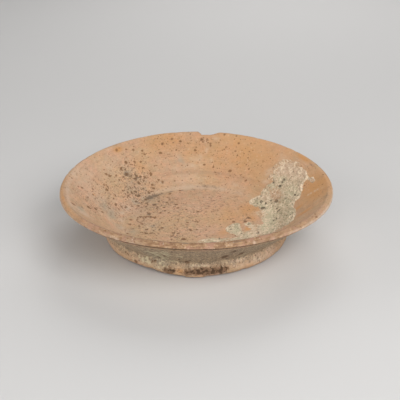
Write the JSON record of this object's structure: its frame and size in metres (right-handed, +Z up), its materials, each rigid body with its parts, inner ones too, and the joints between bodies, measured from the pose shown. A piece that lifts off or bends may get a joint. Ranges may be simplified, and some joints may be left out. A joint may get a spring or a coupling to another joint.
{
  "type": "terracotta bowl",
  "caption": "Shallow ancient terracotta bowl with straight flaring sides, a plain worn lip with a flake missing and a low broad foot.",
  "frame": {"origin": "centre of the foot's resting plane, on the bowl's turning axis", "axes": "+Z up along the turning axis; the camera of the picture stands on the -Y side and the flake missing from the lip is at +Y"},
  "size_m": [0.21, 0.21, 0.0464],
  "materials": {
    "terracotta": "unglazed fired clay, dry and matt, pitted and stained by burial",
    "lime_crust": "grey-green and cream lime crust from burial, rough and matt"
  },
  "bodies": {
    "root": {"bowl": "terracotta"}
  },
  "joints": []
}
